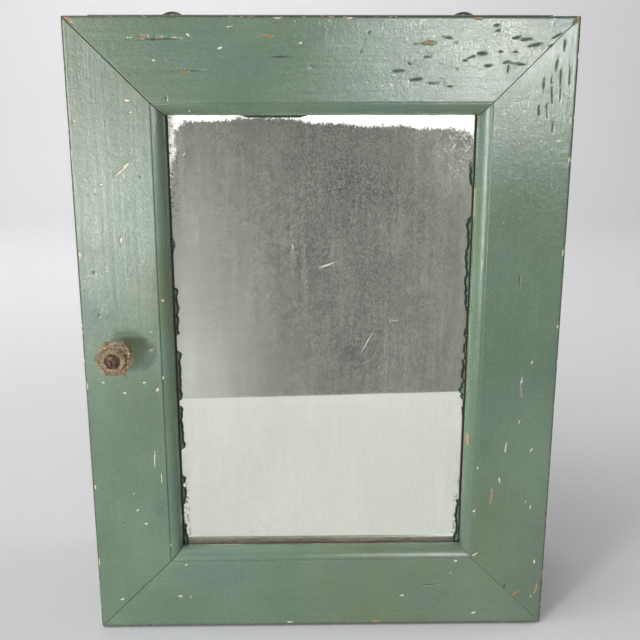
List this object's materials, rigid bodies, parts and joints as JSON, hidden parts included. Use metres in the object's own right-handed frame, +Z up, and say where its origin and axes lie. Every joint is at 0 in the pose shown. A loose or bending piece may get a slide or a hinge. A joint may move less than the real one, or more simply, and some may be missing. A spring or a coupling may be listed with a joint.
{
  "type": "medicine cabinet with mirror",
  "caption": "Small painted wooden wall cabinet with shelves behind a wide mitred and moulded door frame holding a mirror, with a hexagonal glass knob and hanger plates.",
  "frame": {"origin": "centre of the carcass's underside, on the bottom board's lower face; the door and its knob stand out in front of the carcass", "axes": "+Z up, along the height; +Y towards the wall behind the cabinet; +X to the right as seen from the front, which is the hinge side"},
  "size_m": [0.3048, 0.1632, 0.4148],
  "materials": {
    "green_paint": "glossy sage-green oil paint over cream undercoat and wood, chipped",
    "cream_paint": "old cream paint on wood",
    "bare_wood": "bare aged softwood",
    "mirror_glass": "clear plate glass",
    "mirror_silver": "aged silvering",
    "knob_glass": "pressed glass, clear with a brownish cast",
    "rusty_steel": "dark rusty steel",
    "dull_steel": "dull steel",
    "aged_brass": "aged brass"
  },
  "bodies": {
    "carcass": {"side_left": "green_paint", "side_right": "green_paint", "top_board": "green_paint", "bottom_board": "green_paint", "shelf_upper": "cream_paint", "shelf_lower": "cream_paint", "back_panel": "bare_wood", "hanger_plate_left": "dull_steel", "hanger_plate_right": "dull_steel", "catch_clip": "dull_steel", "hanger_screw_1": "dull_steel", "hanger_screw_2": "dull_steel", "hanger_screw_3": "dull_steel", "hanger_screw_4": "dull_steel", "back_nail_1": "dull_steel", "back_nail_2": "dull_steel", "back_nail_3": "dull_steel", "back_nail_4": "dull_steel", "back_nail_5": "dull_steel", "back_nail_6": "dull_steel", "back_nail_7": "dull_steel", "back_nail_8": "dull_steel", "catch_clip_screw_1": "dull_steel", "catch_clip_screw_2": "dull_steel", "hinge_leaf_carcass_upper": "aged_brass", "hinge_leaf_carcass_lower": "aged_brass", "hinge_pin_upper": "aged_brass", "hinge_pin_lower": "aged_brass", "carcass_leaf_screw_1": "aged_brass", "carcass_leaf_screw_2": "aged_brass", "carcass_leaf_screw_3": "aged_brass", "carcass_leaf_screw_4": "aged_brass"},
    "door": {"door_stile_left": "green_paint", "door_stile_right": "green_paint", "door_rail_top": "green_paint", "door_rail_bottom": "green_paint", "mirror_backing": "bare_wood", "mirror_stop_top": "bare_wood", "mirror_stop_bottom": "bare_wood", "mirror_stop_left": "bare_wood", "mirror_stop_right": "bare_wood", "mitre_dowel_1": "bare_wood", "mitre_dowel_2": "bare_wood", "mitre_dowel_3": "bare_wood", "mitre_dowel_4": "bare_wood", "mirror_glass": "mirror_glass", "mirror_silvering": "mirror_silver", "knob_glass": "knob_glass", "knob_screw": "rusty_steel", "catch_strike": "dull_steel", "catch_strike_screw_1": "dull_steel", "catch_strike_screw_2": "dull_steel", "hinge_leaf_door_upper": "aged_brass", "hinge_leaf_door_lower": "aged_brass", "door_leaf_screw_1": "aged_brass", "door_leaf_screw_2": "aged_brass", "door_leaf_screw_3": "aged_brass", "door_leaf_screw_4": "aged_brass"}
  },
  "joints": [
    {"name": "door_hinge", "type": "hinge", "parent": "carcass", "child": "door", "pos_m": [0.14545, -0.05775, 0.2032], "axis": [0, 0, 1], "range_deg": [0, 115]}
  ]
}
